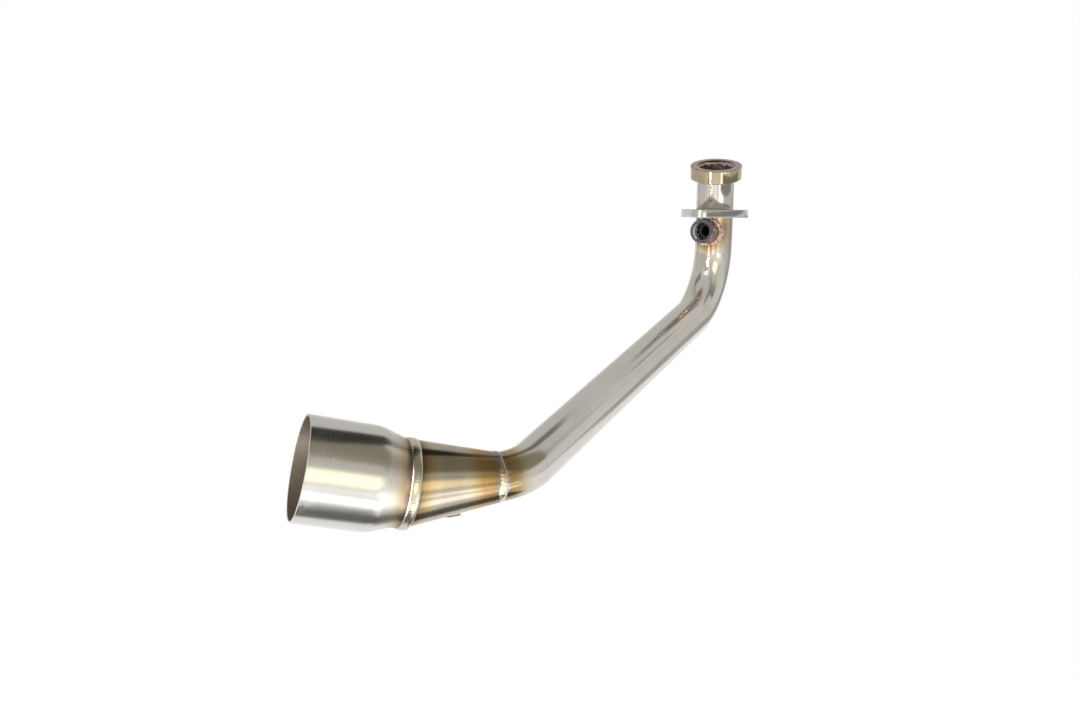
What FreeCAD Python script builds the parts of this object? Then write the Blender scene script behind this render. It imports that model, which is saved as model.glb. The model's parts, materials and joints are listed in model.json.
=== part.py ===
import FreeCAD, Part
import math
import os
from FreeCAD import Placement, Rotation, Vector

# Scooter exhaust header pipe: a port collar, a tube with two bends, a loose two-bolt flange, a sensor
# boss, an expansion cone, a swaged outlet sleeve, a spring hook, and the weld beads that join them.
# Lengths are millimetres and angles degrees. The origin is the centre of the collar's sealing face and
# +Z runs up the collar's axis, out of the pipe. A heading is a plan angle from -X towards -Y, and a
# rise is an angle above level.

# Header tube
TUBE_OD = 32.0
TUBE_WALL = 1.5
PORT_BEND_RADIUS = 50.0
PORT_RUN = 73.0
PORT_BEND = 90.0
LONG_RUN_HEADING = 58.3
LONG_RUN = 262.7
OUTLET_BEND = 39.2
OUTLET_BEND_RADIUS = 47.0
OUTLET_BEND_ROLL = 77.9
TAIL_RUN = 1.0

# Port collar, with the tube's end let into its bore
COLLAR_OD = 43.5
COLLAR_HEIGHT = 11.0
COLLAR_CHAMFER = 0.5
TUBE_RECESS = 3.5
SLIP_GAP = 0.1
COLLAR_WELD_LEG = 2.0
COLLAR_WELD_FULLNESS = 0.62

# Sensor boss
BOSS_OD = 20.5
BOSS_HEIGHT = 15.0
BOSS_DROP = 58.9
BOSS_HEADING = 58.8
BOSS_RISE = 17.1
BOSS_CHAMFER = 0.6
THREAD_MINOR_D = 10.65
MOUTH_D = 15.0
MOUTH_DEPTH = 7.0
BOSS_WELD_LEG = 2.6
BOSS_WELD_ROUND = 2.1

# Loose flange, tipped as it hangs on the boss
FLANGE_THICKNESS = 6.8
FLANGE_WAIST_R = 28.7
EAR_R = 9.5
STUD_PITCH = 62.0
STUD_HOLE_D = 8.5
FLANGE_EDGE_ROUND = 0.6
EAR_HEADING = 61.0
FLANGE_TILT = 17.4
FLANGE_UPHILL_HEADING = 80.0
FLANGE_PLAY = 0.4
FLANGE_SEAT_GAP = 1.3

# Expansion cone
CONE_LENGTH = 57.0
CONE_HEADING = 10.6
CONE_RISE = 4.8
CONE_WALL = 1.2
CONE_MOUTH_OD = 33.6

# Outlet sleeve, whose neck is mitred to the cone's wide end
SLEEVE_OD = 67.5
NECK_OD = 57.2
SLEEVE_WALL = 1.4
NECK_LAND = 4.0
SWAGE_LENGTH = 19.5
SWAGE_STEEPNESS = 1.3
SHOULDER_SHARE = 0.8
SLEEVE_RUN = 43.0
SLEEVE_HEADING = 12.9
SLEEVE_RISE = 20.4
MITRE_HEADING = 14.3
MITRE_RISE = 18.1
RIM_CHAMFER = 0.3

# Weld beads round the tube, the cone and the sleeve
FRONT_WELD_WIDTH = 7.0
REAR_WELD_WIDTH = 6.5
WELD_CROWN = 0.9
WELD_TOE = 0.2

# Spring hook under the cone
HOOK_ROD_D = 5.0
HOOK_FOOT = 15.0
HOOK_BEND_R = 5.5
HOOK_TIP = 7.0
HOOK_BACK_ANGLE = 20.0
HOOK_FROM_TUBE = 13.5
HOOK_SEAT_DEPTH = 0.4
HOOK_WELD_LEG = 2.0

TUBE_R = TUBE_OD / 2
TUBE_BORE_R = TUBE_R - TUBE_WALL
COLLAR_R = COLLAR_OD / 2
BOSS_R = BOSS_OD / 2
NECK_R = NECK_OD / 2
SLEEVE_R = SLEEVE_OD / 2
HOOK_ROD_R = HOOK_ROD_D / 2
UP = Vector(0, 0, 1)
DOWN = Vector(0, 0, -1)
ORIGIN = Vector(0, 0, 0)


def direction(heading, rise):
    """Unit vector at a plan heading and a rise."""
    plan, lift = math.radians(heading), math.radians(rise)
    level = math.cos(lift)
    return Vector(-level * math.cos(plan), -level * math.sin(plan), math.sin(lift))


def unit(vector):
    """The vector at length one."""
    return vector * (1.0 / vector.Length)


def across(vector, axis):
    """Unit vector of what is left of a vector square to an axis."""
    return unit(vector - axis * vector.dot(axis))


def placed(shape, origin, z_axis, x_hint):
    """A shape drawn about +Z, moved to an origin, with its Z along z_axis and its X nearest x_hint."""
    x_axis = across(x_hint, z_axis)
    moved = shape.copy()
    turn = Rotation(x_axis, z_axis.cross(x_axis), z_axis, "ZXY")
    moved.Placement = Placement(origin, turn).multiply(shape.Placement)
    return moved


def polygon_edges(points):
    """Straight edges from each point to the next."""
    return [Part.LineSegment(a, b).toShape() for a, b in zip(points, points[1:])]


def revolved(edges):
    """Solid of a closed outline in the XZ plane, turned about Z."""
    return Part.Face(Part.Wire(edges)).revolve(ORIGIN, UP, 360)


class CentreLine:
    """Centre line of a bent rod or tube, laid out run by run and bend by bend."""

    def __init__(self, start, tangent):
        self.start, self.first_tangent = start, tangent
        self.point, self.tangent = start, tangent
        self.edges = []

    def run(self, length):
        """Goes straight on."""
        end = self.point + self.tangent * length
        self.edges.append(Part.LineSegment(self.point, end).toShape())
        self.point = end

    def bend(self, angle, radius, inward):
        """Turns through an angle about a centre that lies inward of the line."""
        centre = self.point + inward * radius
        axis = self.tangent.cross(inward)
        arm = self.point - centre
        middle = centre + Rotation(axis, angle / 2).multVec(arm)
        end = centre + Rotation(axis, angle).multVec(arm)
        self.edges.append(Part.Arc(self.point, middle, end).toShape())
        self.point = end
        self.tangent = Rotation(axis, angle).multVec(self.tangent)

    def swept(self, radius):
        """Solid round bar along the line."""
        section = Part.Wire(Part.makeCircle(radius, self.start, self.first_tangent))
        return Part.Wire(self.edges).makePipeShell([section], True, False)


def tube_line():
    """The header tube's centre line, from its end in the collar to the front seam."""
    line = CentreLine(Vector(0, 0, -TUBE_RECESS), DOWN)
    line.run(PORT_RUN - TUBE_RECESS)
    line.bend(PORT_BEND, PORT_BEND_RADIUS, direction(LONG_RUN_HEADING, 0))
    line.run(LONG_RUN)
    outlet_inward = Rotation(line.tangent, OUTLET_BEND_ROLL).multVec(across(UP, line.tangent))
    line.bend(OUTLET_BEND, OUTLET_BEND_RADIUS, outlet_inward)
    line.run(TAIL_RUN)
    return line


TUBE_LINE = tube_line()
TUBE_FILLED = TUBE_LINE.swept(TUBE_R)
FRONT_SEAM = TUBE_LINE.point
FRONT_NORMAL = TUBE_LINE.tangent

BOSS_FOOT = Vector(0, 0, -BOSS_DROP)
BOSS_AXIS = direction(BOSS_HEADING, BOSS_RISE)
BOSS_REACH = TUBE_R + BOSS_HEIGHT

CONE_AXIS = direction(CONE_HEADING, CONE_RISE)
REAR_SEAM = FRONT_SEAM + CONE_AXIS * CONE_LENGTH
MITRE_NORMAL = direction(MITRE_HEADING, MITRE_RISE)
SLEEVE_AXIS = direction(SLEEVE_HEADING, SLEEVE_RISE)
NECK_RUN = NECK_R * math.tan(SLEEVE_AXIS.getAngle(MITRE_NORMAL)) + NECK_LAND
SLEEVE_END = NECK_RUN + SWAGE_LENGTH + SLEEVE_RUN


def port_collar():
    """Turned ring with broken outer edges and a bore that takes the tube's end."""
    bore_r = TUBE_R + SLIP_GAP
    face_r = COLLAR_R - COLLAR_CHAMFER
    outline = [
        Vector(bore_r, 0, 0),
        Vector(face_r, 0, 0),
        Vector(COLLAR_R, 0, -COLLAR_CHAMFER),
        Vector(COLLAR_R, 0, COLLAR_CHAMFER - COLLAR_HEIGHT),
        Vector(face_r, 0, -COLLAR_HEIGHT),
        Vector(bore_r, 0, -COLLAR_HEIGHT),
    ]
    return revolved(polygon_edges(outline + outline[:1]))


def collar_weld():
    """Convex bead on the tube's end face, in the corner with the collar's bore."""
    wall_r = TUBE_R + SLIP_GAP
    foot_z, head_z = -TUBE_RECESS, -TUBE_RECESS + COLLAR_WELD_LEG
    toe_r = max(wall_r - COLLAR_WELD_LEG, TUBE_BORE_R)
    toe, corner, head = Vector(toe_r, 0, foot_z), Vector(wall_r, 0, foot_z), Vector(wall_r, 0, head_z)
    bulge = corner + (toe + head - corner * 2) * COLLAR_WELD_FULLNESS
    edges = polygon_edges([toe, corner, head])
    edges.append(Part.Arc(head, bulge, toe).toShape())
    return revolved(edges)


def header_tube():
    """Bent tube, holed through to the sensor boss."""
    tube = TUBE_FILLED.cut(TUBE_LINE.swept(TUBE_BORE_R))
    return tube.cut(Part.makeCylinder(THREAD_MINOR_D / 2, BOSS_REACH, BOSS_FOOT, BOSS_AXIS))


def boss_bar(radius, reach):
    """Round bar about the boss's axis, from the tube's axis outwards."""
    return Part.makeCylinder(radius, reach, BOSS_FOOT, BOSS_AXIS)


def sensor_boss():
    """Turned boss, saddled on the tube, with a tapered mouth and a threaded bore."""
    outline = [
        Vector(BOSS_R, 0, 0),
        Vector(BOSS_R, 0, BOSS_REACH - BOSS_CHAMFER),
        Vector(BOSS_R - BOSS_CHAMFER, 0, BOSS_REACH),
        Vector(MOUTH_D / 2, 0, BOSS_REACH),
        Vector(THREAD_MINOR_D / 2, 0, BOSS_REACH - MOUTH_DEPTH),
        Vector(THREAD_MINOR_D / 2, 0, 0),
    ]
    blank = revolved(polygon_edges(outline + outline[:1]))
    return placed(blank, BOSS_FOOT, BOSS_AXIS, UP).cut(TUBE_FILLED)


def boss_weld():
    """Bead in the corner between the boss and the tube, with a rounded crown."""
    wide = boss_bar(BOSS_R + BOSS_WELD_LEG, BOSS_REACH)
    skin = Part.makeCylinder(TUBE_R + BOSS_WELD_LEG, PORT_RUN, ORIGIN, DOWN)
    bead = wide.common(skin).cut(boss_bar(BOSS_R, BOSS_REACH)).cut(TUBE_FILLED)
    crown = [
        e
        for e in bead.Edges
        if all(on_skin(v.Point) and on_bar(v.Point) for v in e.Vertexes)
    ]
    return bead.makeFillet(BOSS_WELD_ROUND, crown)


def on_skin(point):
    """True on the bead's outer skin about the tube."""
    return abs(math.hypot(point.x, point.y) - TUBE_R - BOSS_WELD_LEG) < SLIP_GAP


def on_bar(point):
    """True on the bead's outer wall about the boss."""
    arm = point - BOSS_FOOT
    return abs((arm - BOSS_AXIS * arm.dot(BOSS_AXIS)).Length - BOSS_R - BOSS_WELD_LEG) < SLIP_GAP


def flange_outline():
    """Outline of the flange: a round waist and two ears, joined by tangent flanks."""
    reach = STUD_PITCH / 2
    flank = math.acos((FLANGE_WAIST_R - EAR_R) / reach)
    cos_f, sin_f = math.cos(flank), math.sin(flank)
    edges = []
    for side in (1, -1):
        ear_tip = Vector(side * (reach + EAR_R), 0, 0)
        ear_a = Vector(side * (reach + EAR_R * cos_f), -side * EAR_R * sin_f, 0)
        ear_b = Vector(ear_a.x, -ear_a.y, 0)
        waist_a = Vector(side * FLANGE_WAIST_R * cos_f, side * FLANGE_WAIST_R * sin_f, 0)
        waist_b = Vector(-waist_a.x, waist_a.y, 0)
        edges.append(Part.Arc(ear_a, ear_tip, ear_b).toShape())
        edges.append(Part.LineSegment(ear_b, waist_a).toShape())
        edges.append(Part.Arc(waist_a, Vector(0, side * FLANGE_WAIST_R, 0), waist_b).toShape())
        edges.append(Part.LineSegment(waist_b, Vector(-ear_a.x, -ear_a.y, 0)).toShape())
    return Part.Wire(edges)


def flange_bore_r():
    """Bore that clears the tube by the play, and the boss's bead, while the plate hangs tipped."""
    tilt = math.radians(FLANGE_TILT)
    lean = FLANGE_THICKNESS / 2 * math.sin(tilt)
    return max(TUBE_R + FLANGE_PLAY + lean, TUBE_R + BOSS_WELD_LEG - lean) / math.cos(tilt)


def flange_normal():
    """Upward normal of the tipped plate."""
    uphill = direction(FLANGE_UPHILL_HEADING, 0)
    tilt = math.radians(FLANGE_TILT)
    return UP * math.cos(tilt) - uphill * math.sin(tilt)


def flange_centre():
    """Centre of the plate on the tube's axis, held just off the boss's flank."""
    normal = flange_normal()
    face = BOSS_FOOT + BOSS_AXIS * BOSS_REACH
    foot = BOSS_FOOT + BOSS_AXIS * (TUBE_R + BOSS_WELD_LEG)
    lean = (normal - BOSS_AXIS * normal.dot(BOSS_AXIS)).Length
    highest = max(normal.dot(face), normal.dot(foot)) + BOSS_R * lean
    return UP * ((highest + FLANGE_SEAT_GAP + FLANGE_THICKNESS / 2) / normal.z)


def header_flange():
    """Loose two-bolt plate round the tube."""
    plate = Part.Face(flange_outline()).extrude(UP * FLANGE_THICKNESS)
    plate = plate.makeFillet(
        FLANGE_EDGE_ROUND, [e for e in plate.Edges if abs(e.BoundBox.ZLength) < FLANGE_EDGE_ROUND]
    )
    plate = plate.cut(Part.makeCylinder(flange_bore_r(), FLANGE_THICKNESS))
    for side in (1, -1):
        hole_at = Vector(side * STUD_PITCH / 2, 0, 0)
        plate = plate.cut(Part.makeCylinder(STUD_HOLE_D / 2, FLANGE_THICKNESS, hole_at))
    plate.translate(DOWN * (FLANGE_THICKNESS / 2))
    return placed(plate, flange_centre(), flange_normal(), direction(EAR_HEADING, 0))


def cone_filled(inset):
    """Ruled solid from the front seam's circle to the neck's mitred ellipse, drawn in by an inset."""
    minor = unit(SLEEVE_AXIS.cross(MITRE_NORMAL))
    major = MITRE_NORMAL.cross(minor)
    wide_r = NECK_R - inset
    long_r = wide_r / SLEEVE_AXIS.dot(MITRE_NORMAL)
    wide = Part.Ellipse(REAR_SEAM + major * long_r, REAR_SEAM + minor * wide_r, REAR_SEAM).toShape()
    narrow = placed(Part.makeCircle(CONE_MOUTH_OD / 2 - inset), FRONT_SEAM, FRONT_NORMAL, major)
    return Part.makeLoft([Part.Wire(narrow), Part.Wire(wide)], True, True)


CONE_FILLED = cone_filled(0)


def expansion_cone():
    """Skew cone of sheet between the tube and the sleeve's neck."""
    return CONE_FILLED.cut(cone_filled(CONE_WALL))


def swage_edges(start, end):
    """A straight flank between two arcs, stepping from one radius to another along Z."""
    length, step = end.z - start.z, end.x - start.x
    slope = math.atan(SWAGE_STEEPNESS * step / length)
    both_r = (SWAGE_STEEPNESS - 1) * step * math.cos(slope) / (1 - math.cos(slope))
    shoulder_r = both_r * SHOULDER_SHARE
    neck_r = both_r - shoulder_r

    def bulge(radius, turn):
        return Vector(radius * (1 - math.cos(turn)), 0, radius * math.sin(turn))

    foot, top = start + bulge(neck_r, slope), end - bulge(shoulder_r, slope)
    first = Part.Arc(start, start + bulge(neck_r, slope / 2), foot).toShape()
    second = Part.Arc(top, end - bulge(shoulder_r, slope / 2), end).toShape()
    return [first] + polygon_edges([foot, top]) + [second]


def sleeve_side(inset):
    """The sleeve's side from the neck's tail to just short of the rim, drawn in by an inset."""
    tail = Vector(NECK_R - inset, 0, -NECK_R)
    neck = Vector(NECK_R - inset, 0, NECK_RUN)
    shoulder = Vector(SLEEVE_R - inset, 0, NECK_RUN + SWAGE_LENGTH)
    rim = Vector(SLEEVE_R - inset, 0, SLEEVE_END - RIM_CHAMFER)
    edges = polygon_edges([tail, neck]) + swage_edges(neck, shoulder) + polygon_edges([shoulder, rim])
    return edges, tail, rim


def beyond_mitre(shape):
    """What of a shape lies on the sleeve's side of the rear seam."""
    size = 4 * (SLEEVE_OD + SLEEVE_END)
    block = Part.makeBox(size, size, size, Vector(-size / 2, -size / 2, 0))
    return shape.common(placed(block, REAR_SEAM, MITRE_NORMAL, UP))


def sleeve_filled():
    """The sleeve as a solid bar, mitred at the rear seam."""
    edges, tail, rim = sleeve_side(0)
    ends = polygon_edges([rim, Vector(0, 0, rim.z), Vector(0, 0, tail.z), tail])
    return beyond_mitre(placed(revolved(edges + ends), REAR_SEAM, SLEEVE_AXIS, UP))


def outlet_sleeve():
    """Thin swaged sleeve with a plain rim."""
    outer, outer_tail, outer_rim = sleeve_side(0)
    inner, inner_tail, inner_rim = sleeve_side(SLEEVE_WALL)
    lip = Vector(0, 0, RIM_CHAMFER)
    step = Vector(RIM_CHAMFER, 0, 0)
    rim = polygon_edges([outer_rim, outer_rim + lip - step, inner_rim + lip + step, inner_rim])
    wall = revolved(outer + rim + inner[::-1] + polygon_edges([inner_tail, outer_tail]))
    return beyond_mitre(placed(wall, REAR_SEAM, SLEEVE_AXIS, UP))


def seam_ring(width, seam_r, sunk_r):
    """Crowned ring about Z, wide enough to cover a seam and sunk into what it joins."""
    half = width / 2
    toe_a, toe_b = Vector(seam_r + WELD_TOE, 0, -half), Vector(seam_r + WELD_TOE, 0, half)
    foot_a, foot_b = Vector(sunk_r, 0, -half), Vector(sunk_r, 0, half)
    crown = Part.Arc(toe_b, Vector(seam_r + WELD_CROWN, 0, 0), toe_a).toShape()
    return revolved(polygon_edges([toe_a, foot_a, foot_b, toe_b]) + [crown])


def front_weld():
    """Bead over the butt of the tube and the cone."""
    ring = placed(
        seam_ring(FRONT_WELD_WIDTH, TUBE_R, TUBE_BORE_R - TUBE_WALL), FRONT_SEAM, FRONT_NORMAL, UP
    )
    return ring.cut(TUBE_FILLED).cut(CONE_FILLED)


def rear_weld():
    """Bead over the mitre of the cone and the sleeve."""
    ring = placed(seam_ring(REAR_WELD_WIDTH, NECK_R, NECK_R - WELD_CROWN * 2), REAR_SEAM, MITRE_NORMAL, UP)
    return ring.cut(CONE_FILLED).cut(sleeve_filled())


def hook_frame():
    """Foot's start on the cone, the way along the cone, and the way out of it."""
    down_back = Rotation(SLEEVE_AXIS, -HOOK_BACK_ANGLE).multVec(DOWN)
    narrow = FRONT_SEAM + across(down_back, FRONT_NORMAL) * CONE_MOUTH_OD / 2
    wide = REAR_SEAM + across(down_back, MITRE_NORMAL) * NECK_R
    along = unit(wide - narrow)
    outward = across(down_back, along)
    start = narrow + along * HOOK_FROM_TUBE + outward * (HOOK_ROD_R - HOOK_SEAT_DEPTH)
    return start, along, outward


def hook_foot_bar(radius):
    """Round bar on the line of the hook's foot."""
    start, along, outward = hook_frame()
    return Part.makeCylinder(radius, HOOK_FOOT, start, along)


def spring_hook():
    """Bent rod, seated along the cone, that turns back over itself."""
    start, along, outward = hook_frame()
    line = CentreLine(start, along)
    line.run(HOOK_FOOT)
    line.bend(180, HOOK_BEND_R, outward)
    line.run(HOOK_TIP)
    return line.swept(HOOK_ROD_R).cut(CONE_FILLED)


def hook_weld():
    """Beads along both sides of the hook's foot."""
    start, along, outward = hook_frame()
    side = outward.cross(along)
    reach = HOOK_ROD_R + HOOK_WELD_LEG
    slab = Part.makeBox(2 * reach, HOOK_ROD_D, HOOK_FOOT, Vector(-reach, -HOOK_ROD_D, 0))
    slab = placed(slab, start, along, side)
    bead = hook_foot_bar(reach).common(slab)
    return bead.cut(hook_foot_bar(HOOK_ROD_R)).cut(CONE_FILLED)


PIECES = (
    port_collar,
    collar_weld,
    header_tube,
    sensor_boss,
    boss_weld,
    header_flange,
    front_weld,
    expansion_cone,
    rear_weld,
    outlet_sleeve,
    spring_hook,
    hook_weld,
)

os.makedirs("parts", exist_ok=True)
for piece in PIECES:
    piece().exportStep(os.path.join("parts", piece.__name__ + ".step"))
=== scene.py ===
"""Looks of a scooter exhaust header pipe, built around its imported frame.

Every length is in metres and every angle in degrees, in the frame of the part: the origin is the centre of
the collar's sealing face, and +Z runs up out of the pipe. A heading is a plan angle from -X towards -Y.
"""

import json
import logging
import math
from dataclasses import dataclass, field
from enum import Enum
from typing import Callable, Dict, List, Optional, Sequence, Tuple, Union

import bmesh
import bpy
from mathutils import Matrix, Vector

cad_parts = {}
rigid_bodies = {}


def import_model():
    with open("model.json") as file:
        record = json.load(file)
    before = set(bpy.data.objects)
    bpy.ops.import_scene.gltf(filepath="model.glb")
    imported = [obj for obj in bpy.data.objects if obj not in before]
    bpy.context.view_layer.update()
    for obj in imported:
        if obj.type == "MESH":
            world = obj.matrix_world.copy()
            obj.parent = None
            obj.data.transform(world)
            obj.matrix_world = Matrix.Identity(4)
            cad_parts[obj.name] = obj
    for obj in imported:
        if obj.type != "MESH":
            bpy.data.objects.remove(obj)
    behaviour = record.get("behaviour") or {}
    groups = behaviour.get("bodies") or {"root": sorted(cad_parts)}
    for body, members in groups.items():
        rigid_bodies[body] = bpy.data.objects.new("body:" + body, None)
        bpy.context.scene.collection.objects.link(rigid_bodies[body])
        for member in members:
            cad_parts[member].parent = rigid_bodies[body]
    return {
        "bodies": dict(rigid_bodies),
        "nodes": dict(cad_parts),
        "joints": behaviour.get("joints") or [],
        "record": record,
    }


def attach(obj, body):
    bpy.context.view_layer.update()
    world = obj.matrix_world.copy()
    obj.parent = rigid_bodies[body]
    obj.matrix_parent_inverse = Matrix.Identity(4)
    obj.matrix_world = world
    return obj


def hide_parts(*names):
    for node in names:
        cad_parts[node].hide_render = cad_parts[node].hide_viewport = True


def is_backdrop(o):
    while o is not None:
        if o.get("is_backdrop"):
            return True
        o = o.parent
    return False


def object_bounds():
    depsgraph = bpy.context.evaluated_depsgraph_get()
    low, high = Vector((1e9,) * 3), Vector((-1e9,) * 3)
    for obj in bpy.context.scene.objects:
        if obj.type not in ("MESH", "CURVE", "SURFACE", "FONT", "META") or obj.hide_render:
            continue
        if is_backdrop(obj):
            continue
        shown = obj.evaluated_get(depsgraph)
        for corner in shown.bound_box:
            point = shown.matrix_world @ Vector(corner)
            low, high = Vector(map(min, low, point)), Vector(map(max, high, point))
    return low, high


LOG = logging.getLogger("header_pipe")
UP = Vector((0.0, 0.0, 1.0))
DOWN = Vector((0.0, 0.0, -1.0))
ORIGIN = Vector((0.0, 0.0, 0.0))
FULL_TURN = 2.0 * math.pi
MERGE_GAP = 1e-6
SMOOTH_TURN = 35.0
TURNED_TURN = 25.0
BEAD_TURN = 60.0
PLATE_TURN = 30.0
RIM_TURN = 1.0
ROUND_PROFILE = 0.5
GRAIN_MAP = "grain"

Colour = Tuple[float, float, float]
Triple = Tuple[float, float, float]
Socket = bpy.types.NodeSocket
Level = Union[float, Socket]
BMesh = bmesh.types.BMesh
BMVert = bmesh.types.BMVert
BMEdge = bmesh.types.BMEdge
Material = bpy.types.Material
Thing = bpy.types.Object
WHITE: Colour = (1.0, 1.0, 1.0)


class Body(Enum):
    """The bodies that a piece can ride on."""

    PIPE = "pipe"
    FLANGE = "flange"


class Grain(Enum):
    """Which way the fine lines of a finish run."""

    LENGTHWISE = "lengthwise"
    AROUND = "around"
    NONE = "none"


class TintFrom(Enum):
    """What a heat tint spreads from."""

    SEAM = "seam"
    AXIS = "axis"
    SPOT = "spot"
    LEVEL = "level"
    CLOUD = "cloud"


def bearing(heading: float, rise: float) -> Vector:
    """Unit vector at a plan heading and a rise.

    Args:
        heading: Plan angle from -X towards -Y.
        rise: Angle above level.

    Returns:
        The unit vector.
    """
    plan, lift = math.radians(heading), math.radians(rise)
    level = math.cos(lift)
    return Vector((-level * math.cos(plan), -level * math.sin(plan), math.sin(lift)))


def square_to(vector: Vector, axis: Vector) -> Vector:
    """Unit vector of what is left of a vector square to an axis."""
    return (vector - axis * vector.dot(axis)).normalized()


def seat(origin: Vector, z_axis: Vector, x_hint: Vector) -> Matrix:
    """Placement of a shape that was drawn about +Z.

    Args:
        origin: Where the shape's own origin goes.
        z_axis: Where its +Z points.
        x_hint: The way that its +X leans to.

    Returns:
        The placement as a 4 x 4 matrix.
    """
    x_axis = square_to(x_hint, z_axis)
    y_axis = z_axis.cross(x_axis)
    turn = Matrix((x_axis, y_axis, z_axis)).transposed()
    return Matrix.Translation(origin) @ turn.to_4x4()


@dataclass(frozen=True)
class HeatTint:
    """Colours that welding leaves on steel, by distance from what was heated.

    Attributes:
        source: What the tint spreads from.
        point: A point on the seam or the axis, or the spot itself.
        way: The seam's normal, the axis or the way that a level is measured in.
        bands: Distance, colour and strength of each band, nearest first.
        waver: How far the bands wander.
        dull: Roughness that the tint adds where it is full.
    """

    source: TintFrom
    point: Triple
    way: Triple
    bands: Tuple[Tuple[float, Colour, float], ...]
    waver: float = 0.003
    dull: float = 0.0


class Sheet:
    """Node tree of one material, with short calls for the nodes that finishes use."""

    def __init__(self, name: str) -> None:
        """Starts a material whose only node is a metal shader and its output."""
        self.material = bpy.data.materials.new(name)
        self.material.use_nodes = True
        self.tree = self.material.node_tree
        self.shader = self.tree.nodes["Principled BSDF"]
        self.shader.inputs["Metallic"].default_value = 1.0
        self.place = self.add("ShaderNodeTexCoord").outputs["Object"]

    def add(self, kind: str, **settings: object) -> bpy.types.Node:
        """Adds a node and sets its properties."""
        node = self.tree.nodes.new(kind)
        for name, value in settings.items():
            setattr(node, name, value)
        return node

    def plug(self, value: object, socket: Socket) -> None:
        """Links an output to a socket, or sets the socket's own value."""
        if isinstance(value, Socket):
            self.tree.links.new(value, socket)
        else:
            socket.default_value = value

    def math(self, operation: str, first: Level, second: Level = 0.0) -> Socket:
        """One sum on numbers."""
        node = self.add("ShaderNodeMath", operation=operation)
        self.plug(first, node.inputs[0])
        self.plug(second, node.inputs[1])
        return node.outputs[0]

    def vector(self, operation: str, first: object, second: object = (0.0, 0.0, 0.0)) -> Socket:
        """One sum on vectors, whose result is a number where the operation gives one."""
        node = self.add("ShaderNodeVectorMath", operation=operation)
        self.plug(first, node.inputs[0])
        self.plug(second, node.inputs[1])
        scalar = operation in ("DOT_PRODUCT", "LENGTH", "DISTANCE")
        return node.outputs["Value" if scalar else "Vector"]

    def noise(self, place: Socket, scale: float, detail: float = 3.0) -> Socket:
        """Cloudy noise from 0 to 1."""
        node = self.add("ShaderNodeTexNoise")
        self.plug(place, node.inputs["Vector"])
        node.inputs["Scale"].default_value = scale
        node.inputs["Detail"].default_value = detail
        return node.outputs["Fac"]

    def spread(self, value: Level, low: float, high: float) -> Socket:
        """Stretches 0 to 1 over a range of results."""
        node = self.add("ShaderNodeMapRange")
        self.plug(value, node.inputs["Value"])
        node.inputs["To Min"].default_value = low
        node.inputs["To Max"].default_value = high
        return node.outputs["Result"]

    def ramp(self, level: Level, stops: Sequence[Tuple[float, Colour, float]]) -> Tuple[Socket, Socket]:
        """Colours and strengths along a level.

        Args:
            level: Where on the ramp to read.
            stops: Place from 0 to 1, colour and strength of each stop.

        Returns:
            The colour output and the strength output.
        """
        node = self.add("ShaderNodeValToRGB")
        self.plug(level, node.inputs["Fac"])
        points = node.color_ramp.elements
        while len(points) < len(stops):
            points.new(0.5)
        for point, (place, colour, strength) in zip(points, stops):
            point.position = place
            point.color = (*colour, strength)
        return node.outputs["Color"], node.outputs["Alpha"]

    def mix(self, share: Level, first: object, second: object, blend: str = "MIX") -> Socket:
        """Blends two colours."""
        node = self.add("ShaderNodeMix", data_type="RGBA", blend_type=blend)
        self.plug(share, node.inputs["Factor"])
        colours = [socket for socket in node.inputs if socket.type == "RGBA"]
        for value, socket in zip((first, second), colours):
            self.plug((*value, 1.0) if isinstance(value, tuple) else value, socket)
        return [socket for socket in node.outputs if socket.type == "RGBA"][0]

    def bump(self, height: Socket, strength: float, depth: float) -> None:
        """Roughens the shader's normal by a height."""
        node = self.add("ShaderNodeBump")
        self.plug(height, node.inputs["Height"])
        node.inputs["Strength"].default_value = strength
        node.inputs["Distance"].default_value = depth
        self.plug(node.outputs["Normal"], self.shader.inputs["Normal"])

    def brush(self, share: float, turn: float) -> None:
        """Draws the gloss out square to the grain.

        Args:
            share: How far it is drawn out, from 0 to 1.
            turn: Which way, as a share of a full turn from the way round.
        """
        tangent = self.add("ShaderNodeTangent", direction_type="UV_MAP", uv_map=GRAIN_MAP)
        self.plug(tangent.outputs["Tangent"], self.shader.inputs["Tangent"])
        self.shader.inputs["Anisotropic"].default_value = share
        self.shader.inputs["Anisotropic Rotation"].default_value = turn


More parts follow.
